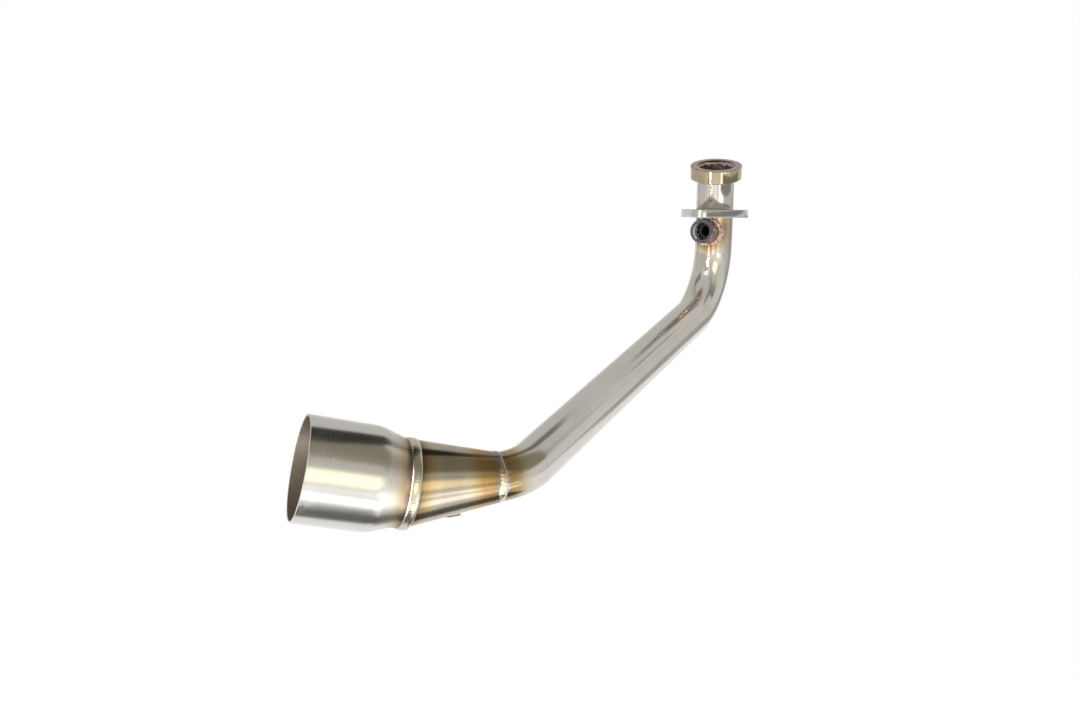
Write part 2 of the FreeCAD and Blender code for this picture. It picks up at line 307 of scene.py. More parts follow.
@dataclass(frozen=True)
class SteelFinish:
    """Bare steel with fine lines, soft mottling and heat tints.

    Attributes:
        name: The material's name.
        colour: Colour of the clean metal.
        roughness: How dull the clean metal is.
        grain: Which way the fine lines run.
        pitch: Spacing of the fine lines.
        grain_share: How much the lines change the roughness.
        grain_bump: How deep the lines look.
        mottle: How much the colour clouds.
        tints: Heat tints, laid one over another.
        brushed: How far the lines draw the gloss out, from 0 to 1.
    """

    name: str
    colour: Colour
    roughness: float
    grain: Grain = Grain.LENGTHWISE
    pitch: float = 0.0004
    grain_share: float = 0.10
    grain_bump: float = 0.06
    mottle: float = 0.10
    tints: Tuple[HeatTint, ...] = ()
    brushed: float = 0.0

    FINE_DETAIL = 4.0
    SOFT_DETAIL = 2.0
    LINE_STRETCH = 90.0
    QUARTER_TURN = 0.25
    BUMP_DEPTH = 0.0001
    CLOUD_SCALE = 55.0
    CLOUD_DULL = 0.04
    SPECK_SCALE = 900.0
    SPECK_SHARE = 0.35
    PATCH_SCALE = 260.0
    WAVER_SCALE = 70.0

    def build(self) -> Material:
        """Makes the material."""
        sheet = Sheet(self.name)
        cloud = sheet.noise(sheet.place, self.CLOUD_SCALE, self.FINE_DETAIL)
        speck = sheet.noise(sheet.place, self.SPECK_SCALE, self.SOFT_DETAIL)
        dark = tuple(c * (1.0 - self.mottle) for c in self.colour)
        light = tuple(min(1.0, c * (1.0 + self.mottle)) for c in self.colour)
        colour = sheet.mix(cloud, dark, light)
        lines = self.lines(sheet)
        rough = sheet.math("ADD", sheet.spread(cloud, -self.CLOUD_DULL, self.CLOUD_DULL), self.roughness)
        rough = sheet.math("ADD", rough, sheet.spread(lines, -self.grain_share, self.grain_share))
        for tint in self.tints:
            shade, strength = self.tint(sheet, tint)
            colour = sheet.mix(strength, colour, shade)
            if tint.dull:
                rough = sheet.math("ADD", rough, sheet.math("MULTIPLY", strength, tint.dull))
        sheet.plug(colour, sheet.shader.inputs["Base Color"])
        sheet.plug(rough, sheet.shader.inputs["Roughness"])
        if self.brushed:
            sheet.brush(self.brushed, self.QUARTER_TURN if self.grain is Grain.AROUND else 0.0)
        height = sheet.math("ADD", lines, sheet.math("MULTIPLY", speck, self.SPECK_SHARE))
        sheet.bump(height, self.grain_bump, self.BUMP_DEPTH)
        return sheet.material

    def lines(self, sheet: Sheet) -> Socket:
        """Noise drawn out along the grain."""
        if self.grain is Grain.NONE:
            return sheet.noise(sheet.place, 1.0 / self.pitch)
        fine, coarse = 1.0 / self.pitch, 1.0 / (self.pitch * self.LINE_STRETCH)
        scale = (fine, coarse, 1.0) if self.grain is Grain.LENGTHWISE else (coarse, fine, 1.0)
        grain_map = sheet.add("ShaderNodeUVMap", uv_map=GRAIN_MAP).outputs["UV"]
        return sheet.noise(sheet.vector("MULTIPLY", grain_map, scale), 1.0, self.FINE_DETAIL)

    @staticmethod
    def tint(sheet: Sheet, tint: HeatTint) -> Tuple[Socket, Socket]:
        """Colour and strength of one heat tint."""
        arm = sheet.vector("SUBTRACT", sheet.place, tint.point)
        if tint.source is TintFrom.CLOUD:
            away = sheet.noise(sheet.place, SteelFinish.PATCH_SCALE, SteelFinish.SOFT_DETAIL)
        elif tint.source is TintFrom.SPOT:
            away = sheet.vector("LENGTH", arm)
        elif tint.source is TintFrom.AXIS:
            away = sheet.vector("LENGTH", sheet.vector("CROSS_PRODUCT", arm, tint.way))
        else:
            away = sheet.vector("DOT_PRODUCT", arm, tint.way)
            if tint.source is TintFrom.SEAM:
                away = sheet.math("ABSOLUTE", away)
        patches = sheet.noise(sheet.place, SteelFinish.WAVER_SCALE)
        patchy = sheet.spread(patches, -tint.waver, tint.waver)
        reach = tint.bands[-1][0]
        level = sheet.math("DIVIDE", sheet.math("ADD", away, patchy), reach)
        stops = [(distance / reach, shade, strength) for distance, shade, strength in tint.bands]
        return sheet.ramp(level, stops)


def smooth_object(name: str, bm: BMesh, materials: Sequence[Material], sharp: float = SMOOTH_TURN) -> Thing:
    """Turns a bmesh into a smooth object at the origin.

    Args:
        name: The object's name.
        bm: The shape, in the part's frame, which is freed.
        materials: Its materials, by face material index.
        sharp: Edges that turn by more than this stay sharp.

    Returns:
        The linked object.
    """
    mesh = bpy.data.meshes.new(name)
    bm.to_mesh(mesh)
    bm.free()
    mesh.shade_smooth()
    mesh.set_sharp_from_angle(angle=math.radians(sharp))
    for material in materials:
        mesh.materials.append(material)
    piece = bpy.data.objects.new(name, mesh)
    bpy.context.scene.collection.objects.link(piece)
    return piece


def dress(piece: Thing, body: Body, slot: str, *nodes: str) -> None:
    """Lets a piece ride on a body and stand for its frame nodes.

    Args:
        piece: The piece.
        body: The body that it rides on.
        slot: The record's material slot; not used.
        nodes: The frame nodes that it stands for.
    """
    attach(piece, body.value)
    if nodes:
        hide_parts(*nodes)
    LOG.info("%s rides on %s, %d faces", piece.name, body.value, len(piece.data.polygons))


def only(geom: Sequence, kind: type) -> List:
    """What is of one kind among what an operator made."""
    return [part for part in geom if isinstance(part, kind)]


def join_up(bm: BMesh) -> None:
    """Merges corners that coincide and turns every face outward."""
    bmesh.ops.remove_doubles(bm, verts=bm.verts, dist=MERGE_GAP)
    bmesh.ops.recalc_face_normals(bm, faces=bm.faces)


def outline_loop(bm: BMesh, points: Sequence[Tuple[float, float]]) -> List[BMVert]:
    """Adds a closed outline in the XZ plane, from (radius, height) points."""
    verts = [bm.verts.new((radius, 0.0, height)) for radius, height in points]
    for here, there in zip(verts, verts[1:] + verts[:1]):
        bm.edges.new((here, there))
    return verts


def turn_about_z(bm: BMesh, steps: int) -> None:
    """Spins all that a bmesh holds right round Z and closes the seam."""
    every = bm.verts[:] + bm.edges[:]
    bmesh.ops.spin(bm, geom=every, cent=ORIGIN, axis=UP, angle=FULL_TURN, steps=steps, use_merge=True)
    join_up(bm)


def turned(points: Sequence[Tuple[float, float]], steps: int) -> BMesh:
    """A shape turned about Z from an outline of (radius, height) points."""
    bm = bmesh.new()
    outline_loop(bm, points)
    turn_about_z(bm, steps)
    return bm


def push_ring(bm: BMesh, ring: List[BMEdge], way: Vector) -> List[BMEdge]:
    """Extrudes a ring of edges.

    Args:
        bm: The shape.
        ring: The ring's edges.
        way: How far and which way to push.

    Returns:
        The new ring's edges.
    """
    grown = bmesh.ops.extrude_edge_only(bm, edges=ring)["geom"]
    bmesh.ops.translate(bm, verts=only(grown, BMVert), vec=way)
    return only(grown, BMEdge)


def spin_ring(
    bm: BMesh, ring: List[BMEdge], centre: Vector, axis: Vector, angle: float, steps: int
) -> List[BMEdge]:
    """Spins a ring of edges round a bend.

    Args:
        bm: The shape.
        ring: The ring's edges.
        centre: The bend's centre.
        axis: The bend's axis.
        angle: How far to spin, in radians.
        steps: Steps of the bend.

    Returns:
        The last ring's edges.
    """
    corners = list(dict.fromkeys(corner for edge in ring for corner in edge.verts))
    made = bmesh.ops.spin(bm, geom=ring + corners, cent=centre, axis=axis, angle=angle, steps=steps)
    return only(made["geom_last"], BMEdge)


def round_rims(bm: BMesh, offset: float) -> None:
    """Rounds every edge that turns sharply."""
    rims = [e for e in bm.edges if len(e.link_faces) == 2 and e.calc_face_angle() > RIM_TURN]
    bmesh.ops.bevel(
        bm, geom=rims, offset=offset, segments=3, profile=ROUND_PROFILE, affect="EDGES", material=-1
    )


def map_grain(bm: BMesh, girth_of: Callable[[Vector], Tuple[float, float]], girth: float) -> None:
    """Writes the grain map: the way round in u and the way along in v, both in metres.

    Args:
        bm: The shape.
        girth_of: Gives a point's turn in radians and its way along.
        girth: Radius that turns are measured on.
    """
    layer = bm.loops.layers.uv.new(GRAIN_MAP)
    for face in bm.faces:
        first: Optional[float] = None
        for loop in face.loops:
            turn, along = girth_of(loop.vert.co)
            if first is None:
                first = turn
            turn -= FULL_TURN * round((turn - first) / FULL_TURN)
            loop[layer].uv = (turn * girth, along)


def about_z(point: Vector) -> Tuple[float, float]:
    """Turn about Z and height of a point."""
    return math.atan2(point.y, point.x), point.z


@dataclass(frozen=True)
class Stretch:
    """One run or bend of the tube's centre line.

    Attributes:
        start: Where it starts.
        tangent: The way that it sets out.
        side: A unit vector square to it, carried along the line.
        before: Length of the line up to its start.
        length: Its own length.
        centre: The bend's centre, or None for a run.
        axis: The bend's axis, or None for a run.
    """

    start: Vector
    tangent: Vector
    side: Vector
    before: float
    length: float
    centre: Optional[Vector] = None
    axis: Optional[Vector] = None

    def turn(self, share: float) -> Matrix:
        """Rotation from the stretch's start to a share of its length."""
        if self.centre is None:
            return Matrix.Identity(3)
        radius = (self.start - self.centre).length
        return Matrix.Rotation(share * self.length / radius, 3, self.axis)

    def at(self, share: float) -> Tuple[Vector, Vector, Vector]:
        """Point, tangent and side at a share of the stretch's length."""
        turn = self.turn(share)
        if self.centre is None:
            point = self.start + self.tangent * (share * self.length)
        else:
            point = self.centre + turn @ (self.start - self.centre)
        return point, turn @ self.tangent, turn @ self.side

    def share_of(self, place: Vector) -> float:
        """How far along the stretch a place lies, from 0 to 1."""
        if self.centre is None:
            share = (place - self.start).dot(self.tangent) / self.length
        else:
            arm, radius = place - self.centre, (self.start - self.centre).length
            outward = (self.start - self.centre).normalized()
            share = math.atan2(arm.dot(self.tangent), arm.dot(outward)) * radius / self.length
        return min(1.0, max(0.0, share))


@dataclass
class HeaderTube:
    """The bent tube, from its end in the collar to the front seam."""

    radius: float = 0.016
    wall: float = 0.0015
    recess: float = 0.0035
    port_run: float = 0.073
    port_bend: float = 90.0
    port_bend_r: float = 0.050
    long_heading: float = 58.3
    long_run: float = 0.2627
    outlet_bend: float = 39.2
    outlet_bend_r: float = 0.047
    outlet_roll: float = 77.9
    tail_run: float = 0.001
    segments: int = 96
    bend_steps: int = 40
    drill_segments: int = 48
    stretches: List[Stretch] = field(default_factory=list)

    def __post_init__(self) -> None:
        """Lays out the centre line."""
        self.point, self.tangent = Vector((0.0, 0.0, -self.recess)), DOWN.copy()
        self.side, self.length = Vector((1.0, 0.0, 0.0)), 0.0
        self.add_run(self.port_run - self.recess)
        self.add_bend(self.port_bend, self.port_bend_r, bearing(self.long_heading, 0.0))
        self.add_run(self.long_run)
        roll = Matrix.Rotation(math.radians(self.outlet_roll), 3, self.tangent)
        self.add_bend(self.outlet_bend, self.outlet_bend_r, roll @ square_to(UP, self.tangent))
        self.add_run(self.tail_run)

    def add(self, stretch: Stretch) -> None:
        """Adds a stretch and moves on to its end."""
        self.stretches.append(stretch)
        self.point, self.tangent, self.side = stretch.at(1.0)
        self.length += stretch.length

    def add_run(self, length: float) -> None:
        """Goes straight on."""
        self.add(Stretch(self.point, self.tangent, self.side, self.length, length))

    def add_bend(self, angle: float, radius: float, inward: Vector) -> None:
        """Turns through an angle about a centre that lies inward of the line."""
        length = math.radians(angle) * radius
        centre, axis = self.point + inward * radius, self.tangent.cross(inward)
        self.add(Stretch(self.point, self.tangent, self.side, self.length, length, centre, axis))

    @property
    def seam(self) -> Vector:
        """Centre of the front seam."""
        return self.point

    def grain_of(self, place: Vector) -> Tuple[float, float]:
        """Turn round the tube and way along it of a place on its wall."""
        best = (math.inf, 0.0, 0.0)
        for stretch in self.stretches:
            share = stretch.share_of(place)
            point, tangent, side = stretch.at(share)
            arm = place - point
            turn = math.atan2(arm.dot(tangent.cross(side)), arm.dot(side))
            best = min(best, (arm.length, turn, stretch.before + share * stretch.length))
        return best[1], best[2]

    def skin(self) -> BMesh:
        """Outer skin, extruded along the runs and spun round the bends."""
        bm = bmesh.new()
        first = self.stretches[0]
        end = seat(first.start, first.tangent, first.side)
        bmesh.ops.create_circle(bm, segments=self.segments, radius=self.radius, matrix=end)
        ring = bm.edges[:]
        for stretch in self.stretches:
            if stretch.centre is None:
                ring = push_ring(bm, ring, stretch.tangent * stretch.length)
            else:
                angle = stretch.length / (stretch.start - stretch.centre).length
                ring = spin_ring(bm, ring, stretch.centre, stretch.axis, angle, self.bend_steps)
        join_up(bm)
        return bm

    def build(self, outside: Material, inside: Material, hole: "SensorBoss") -> Thing:
        """Models the tube, holed under the boss.

        Args:
            outside: Finish of the outer skin.
            inside: Finish of the bore.
            hole: The boss that the tube is holed for.

        Returns:
            The tube.
        """
        bm = self.skin()
        bmesh.ops.solidify(bm, geom=bm.faces[:], thickness=self.wall)
        drilled = bmesh.new()
        bmesh.ops.create_cone(
            drilled,
            cap_ends=True,
            segments=self.drill_segments,
            radius1=hole.thread_r,
            radius2=hole.thread_r,
            depth=hole.reach,
            matrix=seat(hole.foot + hole.axis * (hole.reach / 2.0), hole.axis, UP),
        )
        blank = smooth_object("blank", bm, ())
        drill = smooth_object("drill", drilled, ())
        drilling = blank.modifiers.new("boss hole", "BOOLEAN")
        drilling.operation = "DIFFERENCE"
        drilling.object = drill
        drilling.solver = "EXACT"
        bm = bmesh.new()
        bm.from_mesh(blank.evaluated_get(bpy.context.evaluated_depsgraph_get()).to_mesh())
        for helper in (blank, drill):
            bpy.data.objects.remove(helper)
        map_grain(bm, self.grain_of, self.radius)
        bore_r = self.radius - self.wall / 2.0
        for face in bm.faces:
            face.material_index = int(self.off_axis(face.calc_center_median()) < bore_r)
        return smooth_object("dressed_tube", bm, (outside, inside))

    def off_axis(self, place: Vector) -> float:
        """Distance of a place from the centre line."""
        return min((place - s.at(s.share_of(place))[0]).length for s in self.stretches)


@dataclass
class SensorBoss:
    """Turned boss for a sensor, saddled on the tube."""

    tube_r: float
    foot: Vector
    axis: Vector
    radius: float = 0.01025
    height: float = 0.015
    chamfer: float = 0.0006
    thread_r: float = 0.005325
    mouth_r: float = 0.0075
    mouth_depth: float = 0.007
    flare_r: float = 0.0054
    flare_depth: float = 0.0038
    thread_pitch: float = 0.00125
    thread_depth: float = 0.0005
    ridge_share: float = 0.42
    steps_per_turn: int = 32
    weld_leg: float = 0.0026
    weld_fullness: float = 0.75
    weld_across: int = 9
    steps: int = 96

    @property
    def reach(self) -> float:
        """Distance of the boss's face from the tube's axis."""
        return self.tube_r + self.height

    @property
    def placement(self) -> Matrix:
        """Placement of a shape drawn about the boss's axis."""
        return seat(self.foot, self.axis, UP)

    def saddle(self, place: Vector, proud: float = 0.0) -> float:
        """How far out along the boss's axis the tube's skin lies under a place.

        Args:
            place: A place in the boss's own frame, whose height is not read.
            proud: How far outside the skin to measure to.

        Returns:
            The height in the boss's own frame.
        """
        base = self.placement @ Vector((place.x, place.y, 0.0))
        square = self.axis.x**2 + self.axis.y**2
        half = base.x * self.axis.x + base.y * self.axis.y
        skin = self.tube_r + proud
        rest = base.x**2 + base.y**2 - skin**2
        return (-half + math.sqrt(max(0.0, half**2 - square * rest))) / square

    def build(self, finish: Material, mouth: Material, bore: Material) -> Thing:
        """Models the turned boss.

        Args:
            finish: Finish of the outside and the face.
            mouth: Finish of the tapered mouth: bright turned steel, lightened further with painted light
                reflected into the mouth.
            bore: Finish of the tapped bore, coloured near-black as painted shade down the deep hole.

        Returns:
            The boss.
        """
        top = self.reach
        foot_z = self.tube_r / 2.0
        points = (
            (self.radius, foot_z),
            (self.radius, top - self.chamfer),
            (self.radius - self.chamfer, top),
            (self.mouth_r, top),
            (self.flare_r, top - self.flare_depth),
            (self.thread_r, top - self.mouth_depth),
            (self.thread_r, foot_z),
        )
        bm = turned(points, self.steps)
        for vert in bm.verts:
            if vert.co.z < foot_z + MERGE_GAP:
                vert.co.z = self.saddle(vert.co)
        map_grain(bm, about_z, self.radius)
        for face in bm.faces:
            widest = max(math.hypot(v.co.x, v.co.y) for v in face.verts)
            face.material_index = sum(widest < r + MERGE_GAP for r in (self.mouth_r, self.thread_r))
        bm.transform(self.placement)
        return smooth_object("dressed_boss", bm, (finish, mouth, bore), TURNED_TURN)

    def thread(self, finish: Material) -> Thing:
        """Screws a ridge up the bore."""
        bm = bmesh.new()
        turns = int((self.height - self.mouth_depth) / self.thread_pitch)
        low = self.tube_r - self.thread_pitch / 2.0
        half = self.thread_pitch * self.ridge_share
        outer = self.thread_r + self.thread_depth / 2.0
        crest = self.thread_r - self.thread_depth
        outline_loop(bm, ((outer, low - half), (crest, low), (outer, low + half)))
        steps = turns * self.steps_per_turn
        bmesh.ops.spin(
            bm,
            geom=bm.verts[:] + bm.edges[:],
            cent=ORIGIN,
            axis=UP,
            dvec=UP * (self.thread_pitch / self.steps_per_turn),
            angle=FULL_TURN * turns,
            steps=steps,
        )
        bmesh.ops.holes_fill(bm, edges=[e for e in bm.edges if e.is_boundary], sides=3)
        bmesh.ops.recalc_face_normals(bm, faces=bm.faces)
        map_grain(bm, about_z, self.thread_r)
        bm.transform(self.placement)
        return smooth_object("boss_thread", bm, (finish,), TURNED_TURN)


@dataclass(frozen=True)
class Ripple:
    """How a weld bead's ripples lie.

    Attributes:
        count: Ripples round the ring.
        depth: Height of a ripple, as a share of the bead's crown.
        trail: How far a ripple's middle lags its ends, in ripples.
        wander: Slow change of the bead's size, as a share of it.
    """

    count: int
    depth: float = 0.22
    trail: float = 0.55
    wander: float = 0.10

    STEPS = 6
    SKEW = 0.7
    MEAN = 0.6
    SLOW_SHARE = 0.6
    SLOW_WAVES = 3.0
    FAST_WAVES = 7.0
    FAST_SHARE = 0.7
    FAST_LEAD = 1.0

    @property
    def steps(self) -> int:
        """Steps that a rippled ring is turned in."""
        return self.count * self.STEPS

    def swell(self, turn: float, off_middle: float) -> float:
        """Size of the bead at a turn and a share of its half width."""
        place = self.count * turn / FULL_TURN + self.trail * off_middle**2
        scallop = math.sin(math.pi * (place - math.floor(place)) ** self.SKEW)
        slow = math.sin(self.SLOW_WAVES * turn)
        slow += self.FAST_SHARE * math.sin(self.FAST_WAVES * turn + self.FAST_LEAD)
        return 1.0 + self.depth * (scallop - self.MEAN) + self.wander * self.SLOW_SHARE * slow

    def roughen(self, bm: BMesh, wall_r: float, foot_z: float, leg: float) -> None:
        """Ripples a corner bead that was turned about Z.

        Args:
            bm: The bead.
            wall_r: Radius of the wall that it stands on.
            foot_z: Height of its foot.
            leg: Length of its legs.
        """
        for vert in bm.verts:
            turn, height = about_z(vert.co)
            radius = math.hypot(vert.co.x, vert.co.y)
            out, lift = radius - wall_r, height - foot_z
            swell = self.swell(turn, (abs(out) - lift) / leg)
            grown = (wall_r + out * swell) / radius
            vert.co = (vert.co.x * grown, vert.co.y * grown, foot_z + lift * swell)


@dataclass
class WeldRing:
    """Rippled bead that runs round a seam.

    Attributes:
        node: The frame node that it stands for.
        placement: Placement of the seam, drawn about Z.
        seam_r: The seam's radius.
        width: Width of the bead.
        ripple: How its ripples lie.
        crown: Height of the bead.
        sunk: How far the bead's foot lies under the seam.
    """

    node: str
    placement: Matrix
    seam_r: float
    width: float
    ripple: Ripple
    crown: float = 0.0009
    sunk: float = 0.0010
    across: int = 10

    def build(self, finish: Material) -> Thing:
        """Models the bead."""
        half = self.width / 2.0
        arc = [math.pi * step / self.across for step in range(self.across + 1)]
        crest = [(self.seam_r + self.crown * math.sin(a), half * math.cos(a)) for a in arc]
        foot_r = self.seam_r - self.sunk
        bm = turned([(foot_r, half), *crest, (foot_r, -half)], self.ripple.steps)
        for vert in bm.verts:
            turn, height = about_z(vert.co)
            radius = math.hypot(vert.co.x, vert.co.y)
            proud = radius - self.seam_r
            if proud > -MERGE_GAP:
                swell = self.ripple.swell(turn, height / half)
                grown = (self.seam_r + proud * swell) / radius
                vert.co = (vert.co.x * grown, vert.co.y * grown, height * (1.0 + swell) / 2.0)
        map_grain(bm, about_z, self.seam_r)
        bm.transform(self.placement)
        return smooth_object(f"dressed_{self.node}", bm, (finish,), BEAD_TURN)


def quarter_turn(steps: int) -> List[float]:
    """Angles from nothing to a quarter turn."""
    return [0.5 * math.pi * step / steps for step in range(steps + 1)]


def boss_bead(boss: SensorBoss, finish: Material, ripple: Ripple) -> Thing:
    """Models the rippled bead in the corner between the boss and the tube.

    Args:
        boss: The boss that it goes round.
        finish: The bead's finish.
        ripple: How its ripples lie.

    Returns:
        The bead.
    """
    leg, full = boss.weld_leg, boss.weld_fullness
    arc = quarter_turn(boss.weld_across)
    crest = [(boss.radius + leg * math.sin(a) ** full, leg * math.cos(a) ** full) for a in arc]
    bm = turned([(boss.radius, 0.0), *crest], ripple.steps)
    ripple.roughen(bm, boss.radius, 0.0, leg)
    for vert in bm.verts:
        vert.co.z += boss.saddle(vert.co)
    map_grain(bm, about_z, boss.radius)
    bm.transform(boss.placement)
    return smooth_object("dressed_boss_weld", bm, (finish,), BEAD_TURN)


@dataclass
class PortCollar:
    """Turned ring that seats in the exhaust port, and the bead inside it."""

    tube: HeaderTube
    radius: float = 0.02175
    height: float = 0.011
    chamfer: float = 0.0005
    slip_gap: float = 0.0001
    weld_leg: float = 0.002
    weld_across: int = 8
    level_normal: float = 0.5
    steps: int = 128

    @property
    def bore_r(self) -> float:
        """Radius of the collar's bore."""
        return self.tube.radius + self.slip_gap

    def build(self, finish: Material, face_finish: Material) -> Thing:
        """Models the ring, whose sealing face has a finish of its own."""
        face_r = self.radius - self.chamfer
        points = (
            (self.bore_r, 0.0),
            (face_r, 0.0),
            (self.radius, -self.chamfer),
            (self.radius, self.chamfer - self.height),
            (face_r, -self.height),
            (self.bore_r, -self.height),
        )
        bm = turned(points, self.steps)
        map_grain(bm, about_z, self.radius)
        for face in bm.faces:
            face.material_index = int(face.normal.z > self.level_normal)
        return smooth_object("dressed_collar", bm, (finish, face_finish), TURNED_TURN)

    def bead(self, finish: Material, ripple: Ripple) -> Thing:
        """Models the lumpy bead on the tube's end."""
        foot_z, leg = -self.tube.recess, self.weld_leg
        arc = quarter_turn(self.weld_across)
        crest = [(self.bore_r - leg * math.sin(a), foot_z + leg * math.cos(a)) for a in arc]
        bm = turned([(self.bore_r, foot_z), *crest], ripple.steps)
        ripple.roughen(bm, self.bore_r, foot_z, leg)
        map_grain(bm, about_z, self.bore_r)
        return smooth_object("dressed_collar_weld", bm, (finish,), BEAD_TURN)


@dataclass
class HeaderFlange:
    """Loose two-bolt plate round the tube."""

    centre: Vector
    normal: Vector
    pitch: float
    hole_r: float
    ear_heading: float = 61.0
    bore_r: float = 0.01843
    waist_r: float = 0.0287
    ear_r: float = 0.0095
    thickness: float = 0.0068
    edge_round: float = 0.0006
    flank_steps: int = 32
    ear_steps: int = 24
    bore_segments: int = 96
    hole_segments: int = 48

    def outline(self, bm: BMesh) -> None:
        """Draws the plate's outline: two ears and two flanks, each spun from where the last one ended."""
        reach = self.pitch / 2.0
        half_ear = math.acos((self.waist_r - self.ear_r) / reach)
        corner = Vector((math.cos(half_ear), math.sin(half_ear), 0.0))
        last = first = bm.verts.new(corner * self.waist_r)
        for side in (1.0, -1.0):
            ear = Vector((-side * reach, 0.0, 0.0))
            last = self.arc(bm, last, ORIGIN, math.pi - 2.0 * half_ear, self.flank_steps)
            last = self.line(bm, last, ear + Vector((-corner.x, corner.y, 0.0)) * (side * self.ear_r))
            last = self.arc(bm, last, ear, 2.0 * half_ear, self.ear_steps)
            if side > 0.0:
                last = self.line(bm, last, -corner * self.waist_r)
        bm.edges.new((last, first))

    @staticmethod
    def line(bm: BMesh, start: BMVert, end: Vector) -> BMVert:
        """Draws a line on from a corner and gives the corner that it ends in."""
        corner = bm.verts.new(end)
        bm.edges.new((start, corner))
        return corner

    @staticmethod
    def arc(bm: BMesh, start: BMVert, centre: Vector, angle: float, steps: int) -> BMVert:
        """Spins a corner into an arc and gives the corner that it ends in."""
        made = bmesh.ops.spin(bm, geom=[start], cent=centre, axis=UP, angle=angle, steps=steps)
        return only(made["geom_last"], BMVert)[0]

    def build(self, finish: Material) -> Thing:
        """Models the plate, its bore and its stud holes."""
        bm = bmesh.new()
        self.outline(bm)
        reach = self.pitch / 2.0
        bore, stud = (self.bore_r, self.bore_segments), (self.hole_r, self.hole_segments)
        for place, radius, count in ((0.0, *bore), (reach, *stud), (-reach, *stud)):
            matrix = Matrix.Translation((place, 0.0, 0.0))
            bmesh.ops.create_circle(bm, segments=count, radius=radius, matrix=matrix)
        bmesh.ops.triangle_fill(bm, use_beauty=True, edges=bm.edges[:], normal=UP)
        plate = bmesh.ops.extrude_face_region(bm, geom=bm.faces[:])["geom"]
        bmesh.ops.translate(bm, verts=only(plate, BMVert), vec=UP * self.thickness)
        bmesh.ops.translate(bm, verts=bm.verts, vec=DOWN * (self.thickness / 2.0))
        bmesh.ops.recalc_face_normals(bm, faces=bm.faces)
        round_rims(bm, self.edge_round)
        map_grain(bm, lambda point: (point.x, point.z), 1.0)
        bm.transform(seat(self.centre, self.normal, bearing(self.ear_heading, 0.0)))
        return smooth_object("dressed_flange", bm, (finish,), PLATE_TURN)


